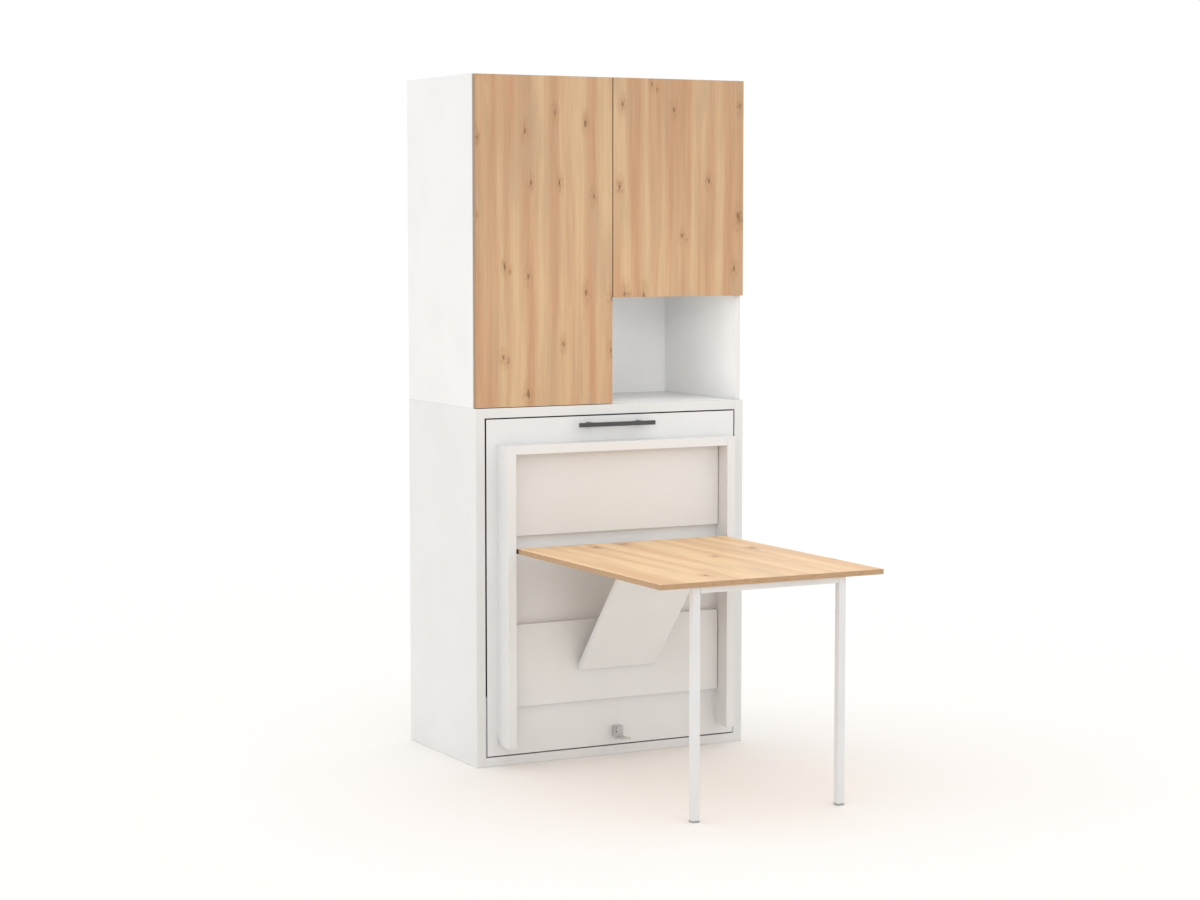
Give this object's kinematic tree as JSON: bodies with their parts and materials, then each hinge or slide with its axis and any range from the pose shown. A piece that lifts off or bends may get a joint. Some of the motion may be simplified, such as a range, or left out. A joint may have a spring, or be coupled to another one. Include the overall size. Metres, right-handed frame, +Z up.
{
  "type": "wall bed",
  "caption": "Tall cabinet with doors and a niche over a folding bed front that carries a fold-out table in a U-shaped frame.",
  "frame": {"origin": "centre of the cabinet's footprint on the floor", "axes": "+Z up, -Y out of the cabinet's front, towards the table, +X to the right seen from the front"},
  "size_m": [1, 1.573, 2.25],
  "materials": {
    "white_board": "matt white laminate on board",
    "oak_decor": "light knotty wood decor",
    "bed_wood": "sanded softwood",
    "zinc_steel": "zinc plated",
    "white_metal": "white powder coat",
    "dark_metal": "dark grey powder coat",
    "light_metal": "light grey powder coat",
    "black_rubber": "moulded",
    "grey_plastic": "moulded",
    "ticking": "quilted ticking"
  },
  "bodies": {
    "cabinet": {"upper_left_side": "white_board", "upper_right_side": "white_board", "upper_top": "white_board", "upper_divider": "white_board", "niche_top": "white_board", "upper_back": "white_board", "wall_rails": "bed_wood", "cupboard_shelves": "white_board", "shelf_pins": "zinc_steel", "hinge_arms": "zinc_steel", "push_latches": "grey_plastic", "lower_left_side": "white_board", "lower_right_side": "white_board", "lower_top": "white_board", "lower_bottom": "white_board", "lower_back": "white_board", "arc_plates": "zinc_steel", "head_brackets": "zinc_steel", "bed_catches": "grey_plastic"},
    "left_door_leaf": {"left_door": "oak_decor", "left_hinge_cups": "zinc_steel"},
    "right_door_leaf": {"right_door": "oak_decor", "right_hinge_cups": "zinc_steel"},
    "bed_front": {"front_panel": "white_board", "left_column": "white_board", "right_column": "white_board", "frame_beam": "white_board", "upper_infill": "white_board", "lower_infill": "white_board", "handle": "dark_metal", "rest_bracket": "light_metal", "front_screws": "zinc_steel", "strut_foot_leaf": "zinc_steel", "strut_foot_pin": "zinc_steel", "main_bed_frame": "bed_wood", "main_slats": "bed_wood", "main_mattress": "ticking", "bed_arms": "zinc_steel", "arc_rollers": "grey_plastic", "fold_plates_main": "zinc_steel", "fold_pins": "zinc_steel"},
    "strut_board": {"strut": "white_board", "strut_leaves": "zinc_steel"},
    "table": {"table_top": "oak_decor", "table_buffers": "black_rubber", "table_leaves": "zinc_steel", "table_pins": "zinc_steel"},
    "table_legs": {"leg_frame": "white_metal", "leg_glides": "grey_plastic", "leg_frame_leaves": "zinc_steel"},
    "foot_section": {"foot_bed_frame": "bed_wood", "foot_slats": "bed_wood", "foot_mattress": "ticking", "fold_plates_foot": "zinc_steel"},
    "foot_section_leg": {"foot_leg": "white_metal"},
    "head_section": {"head_bed_frame": "bed_wood", "head_slats": "bed_wood", "head_mattress": "ticking", "head_arms": "zinc_steel"}
  },
  "joints": [
    {"name": "left_door_hinge", "type": "hinge", "parent": "cabinet", "child": "left_door_leaf", "pos_m": [-0.498, -0.27, 1.712], "axis": [0, 0, -1], "range_deg": [0, 100]},
    {"name": "right_door_hinge", "type": "hinge", "parent": "cabinet", "child": "right_door_leaf", "pos_m": [0.498, -0.27, 1.888], "axis": [0, 0, 1], "range_deg": [0, 100]},
    {"name": "bed_open", "type": "hinge", "parent": "cabinet", "child": "bed_front", "pos_m": [0, -0.282, 0.068], "axis": [1, 0, 0], "range_deg": [0, 90]},
    {"name": "foot_unfold", "type": "hinge", "parent": "bed_front", "child": "foot_section", "pos_m": [0, -0.118, 1.005], "axis": [1, 0, 0], "range_deg": [0, 180]},
    {"name": "foot_leg_swing", "type": "hinge", "parent": "foot_section", "child": "foot_section_leg", "pos_m": [0, 0.004, 0.755], "axis": [1, 0, 0], "range_deg": [-90, 0]},
    {"name": "head_drop", "type": "hinge", "parent": "cabinet", "child": "head_section", "pos_m": [0, 0.23, 0.218], "axis": [1, 0, 0], "range_deg": [0, 90]},
    {"name": "strut_swing", "type": "hinge", "parent": "bed_front", "child": "strut_board", "pos_m": [0, -0.2965, 0.317], "axis": [1, 0, 0], "range_deg": [-11.25, 0]},
    {"name": "table_fold", "type": "hinge", "parent": "strut_board", "child": "table", "pos_m": [0, -0.64263, 0.7015], "axis": [1, 0, 0], "range_deg": [0, 90]},
    {"name": "leg_fold", "type": "hinge", "parent": "table", "child": "table_legs", "pos_m": [0, -1.2525, 0.7015], "axis": [1, 0, 0], "range_deg": [0, 90]}
  ],
  "couplings": [
    {"joint": "foot_unfold", "follows": "bed_open", "ratio": 2},
    {"joint": "foot_leg_swing", "follows": "bed_open", "ratio": -1},
    {"joint": "head_drop", "follows": "bed_open", "ratio": 1},
    {"joint": "strut_swing", "follows": "table_fold", "ratio": -0.125},
    {"joint": "leg_fold", "follows": "table_fold", "ratio": 1}
  ]
}
